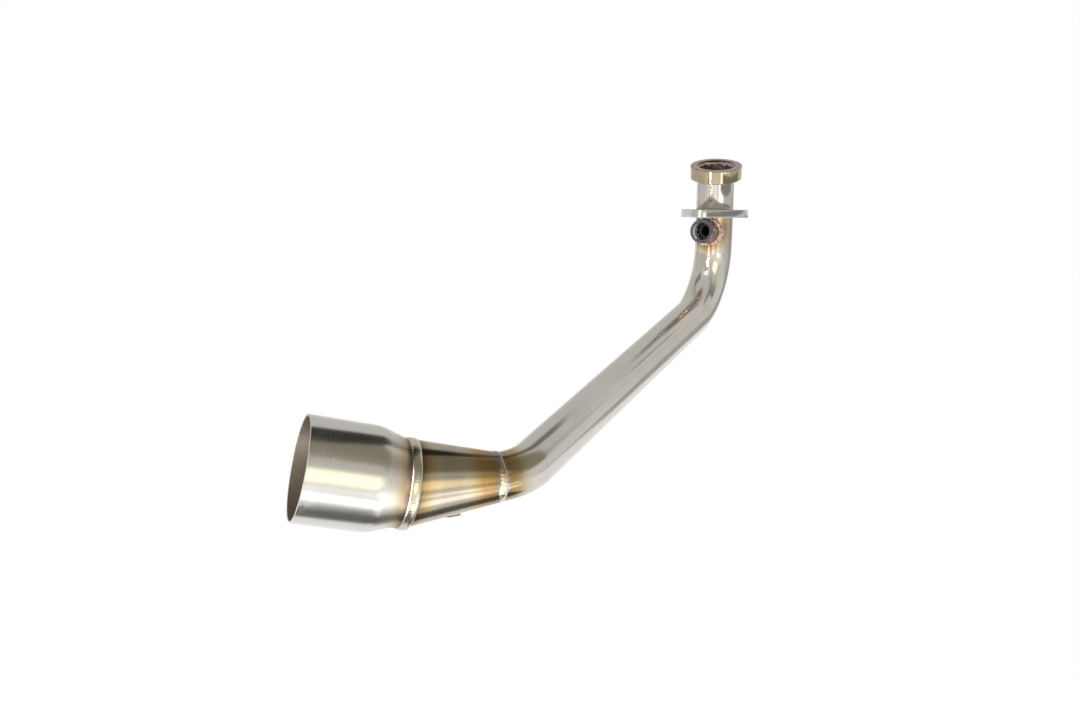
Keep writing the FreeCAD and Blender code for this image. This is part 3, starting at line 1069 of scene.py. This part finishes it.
@dataclass
class Outlet:
    """Expansion cone and swaged sleeve, from the front seam to the rim."""

    tube: HeaderTube
    mouth_r: float = 0.0168
    cone_length: float = 0.057
    cone_heading: float = 10.6
    cone_rise: float = 4.8
    cone_wall: float = 0.0012
    neck_r: float = 0.0286
    sleeve_r: float = 0.03375
    sleeve_wall: float = 0.0014
    neck_land: float = 0.004
    swage: float = 0.0195
    steepness: float = 1.3
    shoulder_share: float = 0.8
    sleeve_run: float = 0.043
    sleeve_heading: float = 12.9
    sleeve_rise: float = 20.4
    mitre_heading: float = 14.3
    mitre_rise: float = 18.1
    rim_chamfer: float = 0.0003
    steps: int = 160
    cone_cuts: int = 10
    blend_segments: int = 12

    def __post_init__(self) -> None:
        """Works out the seams and axes."""
        self.cone_axis = bearing(self.cone_heading, self.cone_rise)
        self.axis = bearing(self.sleeve_heading, self.sleeve_rise)
        self.mitre = bearing(self.mitre_heading, self.mitre_rise)
        self.seam = self.tube.seam + self.cone_axis * self.cone_length
        self.neck_run = self.neck_r * math.tan(self.axis.angle(self.mitre)) + self.neck_land
        self.end = self.neck_run + self.swage + self.sleeve_run

    def cone(self, outside: Material, inside: Material) -> Thing:
        """Models the cone as a bridge between its two seams."""
        bm = bmesh.new()
        lean = square_to(UP, self.tube.tangent)
        ends = ((self.tube.seam, self.tube.tangent, self.mouth_r), (self.seam, self.mitre, self.neck_r))
        for centre, normal, radius in ends:
            place = seat(centre, normal, lean)
            bmesh.ops.create_circle(bm, segments=self.steps, radius=radius, matrix=place)
        bmesh.ops.bridge_loops(bm, edges=bm.edges[:])
        long_edges = [e for e in bm.edges if e.calc_length() > self.cone_length / 2.0]
        bmesh.ops.subdivide_edges(bm, edges=long_edges, cuts=self.cone_cuts, use_grid_fill=True)
        bmesh.ops.recalc_face_normals(bm, faces=bm.faces)
        if sum(f.normal.dot(f.calc_center_median() - self.middle) for f in bm.faces) < 0.0:
            bmesh.ops.reverse_faces(bm, faces=bm.faces)
        bmesh.ops.solidify(bm, geom=bm.faces[:], thickness=self.cone_wall)
        frame = seat(self.tube.seam, self.cone_axis, UP).inverted()
        map_grain(bm, lambda point: about_z(frame @ point), self.neck_r)
        for face in bm.faces:
            outward = face.calc_center_median() - self.middle
            face.material_index = int(square_to(outward, self.cone_axis).dot(face.normal) < 0.0)
        return smooth_object("dressed_cone", bm, (outside, inside))

    @property
    def middle(self) -> Vector:
        """Middle of the cone's axis."""
        return (self.tube.seam + self.seam) / 2.0

    def sleeve(self, outside: Material, inside: Material) -> Thing:
        """Models the swaged sleeve and trims its neck to the mitre."""
        bm = bmesh.new()
        wall, lip = self.sleeve_wall, self.rim_chamfer
        blends = self.swage * (1.0 - 1.0 / self.steepness)
        shoulder_blend = blends * self.shoulder_share
        toe_blend = blends - shoulder_blend
        tail = -self.neck_r / 2.0
        toe = self.neck_run + toe_blend
        shoulder = self.neck_run + self.swage - shoulder_blend
        points = (
            (self.neck_r, tail),
            (self.neck_r, toe),
            (self.sleeve_r, shoulder),
            (self.sleeve_r, self.end - lip),
            (self.sleeve_r - lip, self.end),
            (self.sleeve_r - wall + lip, self.end),
            (self.sleeve_r - wall, self.end - lip),
            (self.sleeve_r - wall, shoulder),
            (self.neck_r - wall, toe),
            (self.neck_r - wall, tail),
        )
        verts = outline_loop(bm, points)
        shoulders, toes = [verts[2], verts[7]], [verts[1], verts[8]]
        for corners, blend in ((shoulders, shoulder_blend), (toes, toe_blend)):
            bmesh.ops.bevel(
                bm,
                geom=corners,
                offset=blend,
                segments=self.blend_segments,
                profile=ROUND_PROFILE,
                affect="VERTICES",
                material=-1,
            )
        turn_about_z(bm, self.steps)
        frame = seat(self.seam, self.axis, UP)
        flat = frame.inverted().to_3x3() @ self.mitre
        every = bm.verts[:] + bm.edges[:] + bm.faces[:]
        bmesh.ops.bisect_plane(bm, geom=every, plane_co=ORIGIN, plane_no=flat, clear_inner=True)
        bmesh.ops.bridge_loops(bm, edges=[e for e in bm.edges if e.is_boundary])
        map_grain(bm, about_z, self.sleeve_r)
        for face in bm.faces:
            middle = face.calc_center_median()
            face.material_index = int(face.normal.x * middle.x + face.normal.y * middle.y < -MERGE_GAP)
        bm.transform(frame)
        return smooth_object("dressed_sleeve", bm, (outside, inside), PLATE_TURN)


@dataclass
class SpringHook:
    """Bent rod under the cone that takes the silencer's spring."""

    outlet: Outlet
    rod_r: float = 0.0025
    foot: float = 0.015
    bend_r: float = 0.0055
    tip: float = 0.007
    back_angle: float = 20.0
    from_tube: float = 0.0135
    seat_depth: float = 0.0004
    rim_share: float = 0.2
    segments: int = 32
    bend_steps: int = 28

    def build(self, finish: Material) -> Thing:
        """Models the rod: a straight foot, a half turn and a short tip."""
        out = self.outlet
        down_back = Matrix.Rotation(math.radians(-self.back_angle), 3, out.axis) @ DOWN
        narrow = out.tube.seam + square_to(down_back, out.tube.tangent) * out.mouth_r
        wide = out.seam + square_to(down_back, out.mitre) * out.neck_r
        along = (wide - narrow).normalized()
        outward = square_to(down_back, along)
        start = narrow + along * self.from_tube + outward * (self.rod_r - self.seat_depth)
        bm = bmesh.new()
        frame = seat(start, along, outward)
        bmesh.ops.create_circle(bm, cap_ends=True, segments=self.segments, radius=self.rod_r, matrix=frame)
        ring = push_ring(bm, bm.edges[:], along * self.foot)
        centre = start + along * self.foot + outward * self.bend_r
        ring = spin_ring(bm, ring, centre, along.cross(outward), math.pi, self.bend_steps)
        ring = push_ring(bm, ring, along * -self.tip)
        bmesh.ops.contextual_create(bm, geom=ring)
        join_up(bm)
        round_rims(bm, self.rod_r * self.rim_share)
        home = frame.inverted()
        map_grain(bm, lambda point: about_z(home @ point), self.rod_r)
        return smooth_object("dressed_hook", bm, (finish,))


@dataclass(frozen=True)
class Card:
    """A flat card that only the metal sees.

    Attributes:
        name: The card's name.
        at: Where its middle goes, with its height above the floor.
        width: Its width.
        depth: Its depth.
        grey: How light it is.
        facing: The way that it faces.
        turn: How far it is turned about the way that it faces.
    """

    name: str
    at: Triple
    width: float
    depth: float
    grey: float
    facing: Triple = (0.0, 0.0, 1.0)
    turn: float = 0.0


@dataclass(frozen=True)
class Lamp:
    """A soft box that the camera doesn't see.

    Attributes:
        name: The lamp's name.
        at: Where it hangs.
        aim: What it points at.
        width: Its width.
        depth: Its depth.
        watts: Its power.
        colour: Colour of its light.
    """

    name: str
    at: Triple
    aim: Triple
    width: float
    depth: float
    watts: float
    colour: Colour = WHITE

    def hang(self) -> None:
        """Hangs the lamp."""
        light = bpy.data.lights.new(self.name, "AREA")
        light.shape = "RECTANGLE"
        light.size = self.width
        light.size_y = self.depth
        light.energy = self.watts
        light.color = self.colour
        lamp = bpy.data.objects.new(self.name, light)
        way = (Vector(self.aim) - Vector(self.at)).normalized()
        lamp.matrix_world = Matrix.Translation(self.at) @ way.to_track_quat("-Z", "Y").to_matrix().to_4x4()
        lamp.visible_camera = False
        bpy.context.scene.collection.objects.link(lamp)


@dataclass
class Studio:
    """White floor, soft light with grey cards that draw the metal, and the camera."""

    floor_drop: float = 0.20
    floor_size: float = 30.0
    floor_white: float = 0.96
    floor_grey: Colour = (0.92, 0.92, 0.92)
    floor_dull: float = 0.9
    dome_r: float = 60.0
    dome_cuts: int = 4
    level_facing: float = 0.9
    lens: float = 33.28
    sensor: float = 36.0
    camera_at: Triple = (-0.157, -0.83385, 0.2283)
    camera_turn: Triple = (64.048, 2.1951, -1.068)

    CARDS = (
        Card("front_card", (-0.31, -0.51, 0.005), 0.24, 0.28, 0.13),
        Card("cone_card", (-0.145, -0.35, 0.005), 0.21, 0.12, 0.14),
        Card("back_card", (0.70, 0.40, 0.005), 0.80, 0.80, 0.45),
        Card("top_card", (-0.219, -0.242, 0.354), 0.165, 0.062, 0.006, turn=43.4),
        Card("tail_card", (-0.125, -0.155, 0.354), 0.09, 0.055, 0.20, turn=43.4),
        Card("left_card", (-1.0, 0.0, 0.45), 0.9, 1.6, 0.66, (1.0, 0.0, 0.0)),
        Card("side_card", (1.15, -0.30, 0.005), 0.90, 0.90, 0.66),
        Card("right_card", (0.95, -0.375, 0.36), 0.5, 1.25, 0.78, (-1.0, 0.0, 0.0)),
        Card("flank_card", (0.055, -0.042, 0.324), 0.022, 0.105, 0.29, (-0.829, 0.559, -0.1)),
        Card("far_card", (0.95, 0.525, 0.25), 0.5, 0.55, 0.70, (-1.0, 0.0, 0.0)),
        Card("window_card", (-0.74, -0.88, 1.21), 0.8, 1.3, 0.90, (0.50, 0.60, -0.62)),
        Card("bend_card", (0.167, 0.054, 0.414), 0.18, 0.26, 0.72, (-0.668, -0.297, -0.682)),
        Card("loft_card", (0.93, 0.75, 1.00), 0.63, 0.78, 0.90, (-0.654, -0.568, -0.500)),
        Card("shoulder_card", (0.535, -0.864, 0.974), 0.30, 0.30, 0.70, (-0.671, 0.470, -0.574)),
        Card("canopy_card", (-0.01, -0.05, 0.414), 0.27, 0.22, 0.64, (0.0, 0.0, -1.0)),
        Card("left_floor_card", (-1.1, 0.75, 0.005), 1.0, 0.9, 0.62),
        Card("far_floor_card", (0.0, 4.6, 0.005), 8.0, 6.0, 0.62),
    )
    LAMPS = (
        Lamp("key", (0.27, -1.15, 0.17), (-0.1, -0.2, -0.05), 0.62, 0.46, 1.10, (1.0, 0.92, 0.70)),
        Lamp("strip", (-0.44, -0.61, 0.1964), (0.0, 0.0, 0.1964), 0.08, 1.09, 4.5),
        Lamp("left bounce", (-0.15, -0.865, -0.3436), (-0.15, -0.865, 1.0), 0.24, 0.37, 0.284),
        Lamp("right bounce", (0.45, -1.05, -0.3436), (0.45, -1.05, 1.0), 0.46, 0.50, 1.058),
        Lamp("middle bounce", (0.035, -0.60, -0.3436), (0.035, -0.60, 1.0), 0.37, 0.18, 0.306),
    )
    SKY = (
        (0.00, (0.62, 0.62, 0.61)),
        (0.17, (0.66, 0.66, 0.64)),
        (0.28, (0.60, 0.60, 0.57)),
        (0.34, (0.26, 0.24, 0.18)),
        (0.62, (0.28, 0.26, 0.20)),
        (0.715, (0.40, 0.38, 0.32)),
        (0.79, (0.62, 0.60, 0.54)),
        (0.91, (0.78, 0.72, 0.55)),
    )

    def build(self, low: Vector) -> None:
        """Sets the stage.

        Args:
            low: The object's lowest corner.
        """
        floor = low.z - self.floor_drop
        self.floor(floor)
        self.world()
        self.dome()
        for lamp in self.LAMPS:
            lamp.hang()
        for card in self.CARDS:
            self.card(card, floor)
        self.camera()
        bpy.context.scene.view_settings.view_transform = "Standard"

    def floor(self, height: float) -> None:
        """Lays the floor, which looks white and still takes a faint shadow."""
        bm = bmesh.new()
        place = Matrix.Translation((0.0, 0.0, height))
        bmesh.ops.create_grid(bm, x_segments=1, y_segments=1, size=self.floor_size, matrix=place)
        sheet = Sheet("floor")
        sheet.shader.inputs["Metallic"].default_value = 0.0
        sheet.shader.inputs["Roughness"].default_value = self.floor_dull
        sheet.shader.inputs["Base Color"].default_value = (*self.floor_grey, 1.0)
        ray = sheet.add("ShaderNodeLightPath").outputs
        seen = sheet.math("MAXIMUM", ray["Is Camera Ray"], ray["Is Glossy Ray"])
        seen = sheet.math("MAXIMUM", seen, ray["Is Transmission Ray"])
        glow = sheet.add("ShaderNodeEmission")
        both = sheet.add("ShaderNodeMixShader")
        sheet.plug(sheet.math("MULTIPLY", seen, self.floor_white), both.inputs[0])
        sheet.plug(sheet.shader.outputs[0], both.inputs[1])
        sheet.plug(glow.outputs[0], both.inputs[2])
        sheet.plug(both.outputs[0], sheet.tree.nodes["Material Output"].inputs["Surface"])
        smooth_object("floor", bm, (sheet.material,))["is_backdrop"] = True

    @staticmethod
    def glow(sheet: Sheet, colour: object) -> Material:
        """An even light that no lamp changes."""
        light = sheet.add("ShaderNodeEmission")
        sheet.plug(colour, light.inputs["Color"])
        sheet.plug(light.outputs[0], sheet.tree.nodes["Material Output"].inputs["Surface"])
        return sheet.material

    @staticmethod
    def for_metal(piece: Thing) -> None:
        """Makes a piece part of the stage that only mirroring metal sees."""
        piece.visible_camera = piece.visible_diffuse = piece.visible_shadow = False
        piece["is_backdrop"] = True

    def card(self, card: Card, floor: float) -> None:
        """Sets up one card.

        Args:
            card: The card.
            floor: The floor's height.
        """
        bm = bmesh.new()
        facing = Vector(card.facing).normalized()
        hint = UP if abs(facing.z) < self.level_facing else Vector((1.0, 0.0, 0.0))
        hint = Matrix.Rotation(math.radians(card.turn), 3, facing) @ hint
        bmesh.ops.create_grid(bm, x_segments=1, y_segments=1, size=0.5)
        bmesh.ops.scale(bm, verts=bm.verts, vec=(card.width, card.depth, 1.0))
        bm.transform(seat(Vector(card.at) + UP * floor, facing, hint))
        grey = (card.grey, card.grey, card.grey, 1.0)
        self.for_metal(smooth_object(card.name, bm, (self.glow(Sheet(card.name), grey),)))

    def dome(self) -> None:
        """Hangs soft bands round the studio, from the back over the top to the front."""
        bm = bmesh.new()
        bmesh.ops.create_icosphere(bm, subdivisions=self.dome_cuts, radius=self.dome_r)
        sheet = Sheet("dome")
        parts = sheet.add("ShaderNodeSeparateXYZ")
        sheet.plug(sheet.place, parts.inputs[0])
        tilt = sheet.math("ARCTAN2", parts.outputs["Z"], parts.outputs["Y"])
        stops = [(place, colour, 1.0) for place, colour in self.SKY]
        colour, _ = sheet.ramp(sheet.math("DIVIDE", tilt, math.pi), stops)
        self.for_metal(smooth_object("dome", bm, (self.glow(sheet, colour),)))

    @staticmethod
    def world() -> None:
        """Rounds the studio off in plain white."""
        world = bpy.data.worlds.new("studio")
        world.use_nodes = True
        world.node_tree.nodes["Background"].inputs["Color"].default_value = (*WHITE, 1.0)
        bpy.context.scene.world = world

    def camera(self) -> None:
        """Sets the camera where the photograph was taken from."""
        data = bpy.data.cameras.new("camera")
        data.lens = self.lens
        data.sensor_width = self.sensor
        camera = bpy.data.objects.new("camera", data)
        camera.location = self.camera_at
        camera.rotation_euler = [math.radians(a) for a in self.camera_turn]
        bpy.context.scene.collection.objects.link(camera)
        bpy.context.scene.camera = camera


def triple(vector: Vector) -> Triple:
    """A vector as three plain numbers."""
    return (vector.x, vector.y, vector.z)


class Finishes:
    """Every finish of the part, with the heat tints set where the welds are."""

    CLEAN = (0.66, 0.63, 0.57)
    STRAW = (0.60, 0.49, 0.28)
    GOLD = (0.50, 0.35, 0.14)
    BROWN = (0.33, 0.20, 0.07)
    DARK = (0.10, 0.07, 0.06)
    PATCHES = (0.35, 0.50, 0.65)
    SATIN_FROM = (0.0, 0.0, -0.06)
    PLAIN = (
        SteelFinish("collar_steel", (0.57, 0.47, 0.32), 0.12, Grain.AROUND, 0.0005, 0.06, 0.03, 0.25),
        SteelFinish("bore_steel", (0.38, 0.33, 0.27), 0.40, Grain.NONE, 0.001),
        # tapped bore and thread: near-black painted shade of the deep hole, not the steel's own colour
        SteelFinish("tapped_bore_painted_shade", (0.05, 0.05, 0.05), 0.45, Grain.NONE, 0.001),
        # mouth: bright turned steel, lightened past bare steel as painted light reflected into the mouth
        SteelFinish("mouth_steel_painted_light", (0.90, 0.93, 0.96), 0.20, Grain.AROUND, 0.0003, 0.04),
        SteelFinish("flange_steel", (0.58, 0.58, 0.56), 0.22, Grain.AROUND, 0.0010, 0.06, 0.04),
        SteelFinish("hook_steel", (0.34, 0.31, 0.27), 0.35),
        SteelFinish("rear_bead", (0.62, 0.59, 0.46), 0.24, Grain.NONE, 0.0008, mottle=0.2),
    )

    def __init__(self, tube: HeaderTube, boss: SensorBoss, outlet: Outlet) -> None:
        """Works out the places that the tints spread from."""
        self.front = (TintFrom.SEAM, triple(tube.seam), triple(tube.tangent))
        self.rear = (TintFrom.SEAM, triple(outlet.seam), triple(outlet.mitre))
        self.boss_axis = (TintFrom.AXIS, triple(boss.foot), triple(boss.axis))
        self.boss_spot = (TintFrom.SPOT, triple(boss.foot + boss.axis * boss.tube_r), triple(boss.axis))
        self.boss_face = (TintFrom.SEAM, triple(boss.foot + boss.axis * boss.reach), triple(boss.axis))
        low = tube.seam + DOWN * tube.radius
        self.front_level = (TintFrom.LEVEL, triple(low), triple(UP))
        self.cloud = (TintFrom.CLOUD, triple(low), triple(UP))

    def patches(self, *shades: Tuple[Colour, float]) -> HeatTint:
        """Cloudy patches in three shades, each with its strength."""
        return HeatTint(*self.cloud, tuple((place, *shade) for place, shade in zip(self.PATCHES, shades)))

    def tube(self) -> SteelFinish:
        """Satin tube, gold round the boss from the weld's heat, whose outer gold and straw also paint the
        flange's warm reflection on the tube above the flange, and brown beside the front seam.
        """
        # heat tint round the boss weld; its outer gold and straw reach also paints the flange's warm
        # reflection on the tube above the flange
        boss_heat_and_flange_reflection = (
            (0.0135, self.BROWN, 0.90), (0.0160, (0.40, 0.26, 0.10), 0.80), (0.0190, self.GOLD, 0.50),
            (0.0240, self.STRAW, 0.35), (0.0320, self.CLEAN, 0.0),
        )
        near_seam = (
            (0.0030, self.DARK, 0.50), (0.0050, self.BROWN, 0.90), (0.0120, (0.42, 0.28, 0.10), 0.80),
            (0.0180, self.STRAW, 0.45), (0.0260, self.CLEAN, 0.0),
        )
        lower_down = ((0.0, self.CLEAN, 0.0), (0.05, self.CLEAN, 0.2))
        tints = (
            HeatTint(TintFrom.LEVEL, self.SATIN_FROM, triple(DOWN), lower_down, dull=0.15),
            HeatTint(*self.boss_spot, boss_heat_and_flange_reflection),
            HeatTint(*self.front, near_seam),
        )
        return SteelFinish("tube_steel", self.CLEAN, 0.14, tints=tints)

    def cone(self) -> SteelFinish:
        """Satin sheet, straw all over and brown at both ends."""
        front = (
            (0.0030, self.DARK, 0.50), (0.0055, self.BROWN, 0.90), (0.0130, (0.38, 0.24, 0.09), 0.85),
            (0.0190, self.GOLD, 0.45), (0.0280, self.CLEAN, 0.0),
        )
        rear = (
            (0.0030, self.DARK, 0.85), (0.0050, (0.28, 0.19, 0.09), 0.85), (0.0100, self.GOLD, 0.55),
            (0.0180, self.CLEAN, 0.0),
        )
        tints = (HeatTint(*self.front, front), HeatTint(*self.rear, rear))
        return SteelFinish("cone_steel", (0.45, 0.40, 0.31), 0.19, tints=tints)

    def sleeve(self) -> SteelFinish:
        """Sleeve brushed round its girth, brown beside the rear seam."""
        bands = (
            (0.0030, self.DARK, 0.90), (0.0050, (0.22, 0.14, 0.09), 0.85), (0.0085, self.GOLD, 0.70),
            (0.0130, self.STRAW, 0.35), (0.0220, self.CLEAN, 0.0),
        )
        rear = HeatTint(*self.rear, bands, waver=0.002, dull=0.12)
        return SteelFinish(
            "sleeve_steel", (0.69, 0.67, 0.63), 0.25, Grain.AROUND, 0.0007, 0.05, 0.07, 0.05, (rear,), 0.8
        )

    def collar_face(self) -> SteelFinish:
        """Sealing face, clouded brown and purple by the bead beside it."""
        tint = self.patches(((0.20, 0.12, 0.08), 0.9), ((0.46, 0.36, 0.28), 0.7), ((0.40, 0.28, 0.30), 0.8))
        return SteelFinish("collar_face", (0.42, 0.33, 0.26), 0.22, Grain.NONE, 0.0006, tints=(tint,))

    def boss(self) -> SteelFinish:
        """Turned boss with a blue face and a copper flank."""
        bands = (
            (0.0000, (0.13, 0.16, 0.20), 0.92), (0.0008, (0.26, 0.22, 0.32), 0.85),
            (0.0030, (0.36, 0.22, 0.15), 0.60), (0.0100, self.BROWN, 0.0),
        )
        face = HeatTint(*self.boss_face, bands, waver=0.0006)
        return SteelFinish("boss_steel", (0.36, 0.23, 0.14), 0.18, Grain.AROUND, 0.0003, tints=(face,))

    def boss_bead(self) -> SteelFinish:
        """Copper-pink bead, dark where it meets the boss."""
        tint = self.patches(((0.86, 0.74, 0.66), 0.8), ((0.66, 0.44, 0.34), 0.6), ((0.56, 0.34, 0.34), 0.9))
        bands = ((0.0104, self.DARK, 0.9), (0.0114, self.BROWN, 0.0))
        tints = (tint, HeatTint(*self.boss_axis, bands, waver=0.0002))
        return SteelFinish("boss_bead", (0.70, 0.52, 0.42), 0.13, Grain.NONE, 0.0008, tints=tints)

    def collar_bead(self) -> SteelFinish:
        """Lumpy bead in copper, pink and blue."""
        tint = self.patches(((0.18, 0.09, 0.06), 0.9), ((0.55, 0.32, 0.27), 0.8), ((0.36, 0.40, 0.55), 0.9))
        return SteelFinish("collar_bead", (0.46, 0.30, 0.24), 0.14, Grain.NONE, 0.0008, tints=(tint,))

    def front_bead(self) -> SteelFinish:
        """Gold bead, pink at its foot and purple at its top."""
        bands = (
            (0.000, (0.72, 0.42, 0.44), 0.9), (0.007, (0.86, 0.80, 0.60), 0.9),
            (0.018, (0.82, 0.80, 0.60), 0.9), (0.026, (0.58, 0.38, 0.24), 0.8),
            (0.033, (0.36, 0.26, 0.38), 0.9),
        )
        level = HeatTint(*self.front_level, bands, waver=0.004)
        return SteelFinish("front_bead", self.GOLD, 0.27, Grain.NONE, 0.0008, tints=(level,))

    def build(self) -> Dict[str, Material]:
        """Makes every finish, by its name."""
        tinted = (
            self.tube(),
            self.cone(),
            self.sleeve(),
            self.collar_face(),
            self.boss(),
            self.boss_bead(),
            self.collar_bead(),
            self.front_bead(),
        )
        return {look.name: look.build() for look in (*tinted, *self.PLAIN)}


class HeaderPipe:
    """The whole part: works out its sub-assemblies from the frame and dresses them."""

    BOSS_RIPPLE = Ripple(18, 0.40, wander=0.18)
    COLLAR_RIPPLE = Ripple(13, 0.45, wander=0.3)
    FRONT_RIPPLE = Ripple(38, 0.16, wander=0.22)
    REAR_RIPPLE = Ripple(84, 0.05)
    FRONT_WIDTH = 0.007
    REAR_WIDTH = 0.0065

    def __init__(self, frame: Dict) -> None:
        """Reads the mounts that the pieces are set by."""
        self.nodes, record = frame["nodes"], frame["record"]
        mounts = {mount["name"]: mount for mount in record["mounts"]}
        self.tube = HeaderTube()
        sensor, studs = mounts["sensor_thread"], mounts["flange_studs"]
        axis, tapped = Vector(sensor["axis"]), Vector(sensor["pos_m"])
        self.boss = SensorBoss(self.tube.radius, tapped - axis * (tapped.x / axis.x), axis)
        self.outlet = Outlet(self.tube)
        self.collar = PortCollar(self.tube)
        self.hook = SpringHook(self.outlet)
        self.flange = HeaderFlange(
            Vector(studs["pos_m"]),
            Vector(studs["axis"]),
            studs["dims"]["pcd_mm"] / 1000.0,
            studs["dims"]["hole_r_mm"] / 1000.0,
        )

    def rings(self) -> Tuple[WeldRing, WeldRing]:
        """The front and rear weld rings."""
        tube, out = self.tube, self.outlet
        at_front, at_rear = seat(tube.seam, tube.tangent, UP), seat(out.seam, out.mitre, UP)
        front = WeldRing("front_weld", at_front, tube.radius, self.FRONT_WIDTH, self.FRONT_RIPPLE)
        rear = WeldRing("rear_weld", at_rear, out.neck_r, self.REAR_WIDTH, self.REAR_RIPPLE)
        return front, rear

    def build(self) -> None:
        """Builds and dresses every piece."""
        looks = Finishes(self.tube, self.boss, self.outlet).build()
        # tapped is the near-black tapped bore, painted shade of the deep hole
        bore, tapped = looks["bore_steel"], looks["tapped_bore_painted_shade"]
        front, rear = self.rings()
        pieces = (
            (self.tube.build(looks["tube_steel"], bore, self.boss), "tube_steel", "header_tube"),
            # the boss's mouth carries painted light and its tapped bore painted shade
            (self.boss.build(looks["boss_steel"], looks["mouth_steel_painted_light"], tapped), "boss_steel", "sensor_boss"),
            (self.boss.thread(tapped), "boss_steel"),
            (boss_bead(self.boss, looks["boss_bead"], self.BOSS_RIPPLE), "weld_bead", "boss_weld"),
            (self.collar.build(looks["collar_steel"], looks["collar_face"]), "collar_steel", "port_collar"),
            (self.collar.bead(looks["collar_bead"], self.COLLAR_RIPPLE), "weld_bead", "collar_weld"),
            (self.outlet.cone(looks["cone_steel"], bore), "cone_steel", "expansion_cone"),
            (self.outlet.sleeve(looks["sleeve_steel"], bore), "sleeve_steel", "outlet_sleeve"),
            (front.build(looks["front_bead"]), "weld_bead", front.node),
            (rear.build(looks["rear_bead"]), "weld_bead", rear.node),
            (self.hook.build(looks["hook_steel"]), "hook_steel", "spring_hook"),
        )
        for piece, slot, *nodes in pieces:
            dress(piece, Body.PIPE, slot, *nodes)
        dress(self.flange.build(looks["flange_steel"]), Body.FLANGE, "flange_steel", "header_flange")
        tacks = self.nodes["hook_weld"].data.materials
        tacks.clear()
        tacks.append(looks["hook_steel"])


def main() -> None:
    """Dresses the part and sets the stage."""
    logging.basicConfig(level=logging.INFO, format="%(name)s: %(message)s")
    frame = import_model()
    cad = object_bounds()
    HeaderPipe(frame).build()
    Studio().build(cad[0])


if __name__ == "__main__":
    main()
